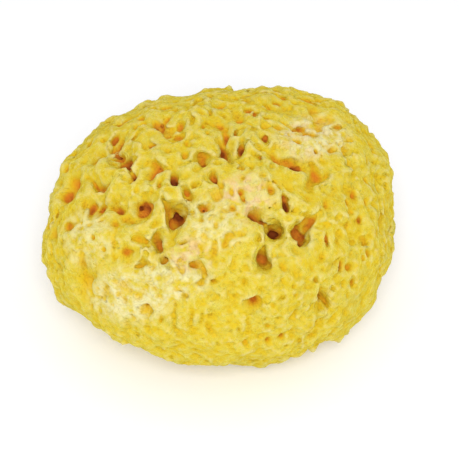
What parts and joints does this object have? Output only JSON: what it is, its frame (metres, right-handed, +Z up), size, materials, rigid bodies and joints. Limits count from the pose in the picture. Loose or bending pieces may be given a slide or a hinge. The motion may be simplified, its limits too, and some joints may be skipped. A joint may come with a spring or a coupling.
{
  "type": "sea sponge",
  "caption": "Natural sea sponge for the bath: a low, lopsided dome of yellow springy skeleton, riddled with canals and pits, cut off flat underneath where it grew.",
  "frame": {"origin": "middle of the sponge's box, on the plane of its flat cut base", "axes": "+Z up out of the cut base, +X along the longest side, -Y towards the side that the picture shows"},
  "size_m": [0.1398, 0.1202, 0.0906],
  "materials": {
    "sponge_skeleton": "dry, matt fibrous skeleton: cream on the ridges, lemon yellow on the walls, ochre to rust brown deep in the canals"
  },
  "bodies": {
    "root": {"sponge": "sponge_skeleton"}
  },
  "joints": []
}
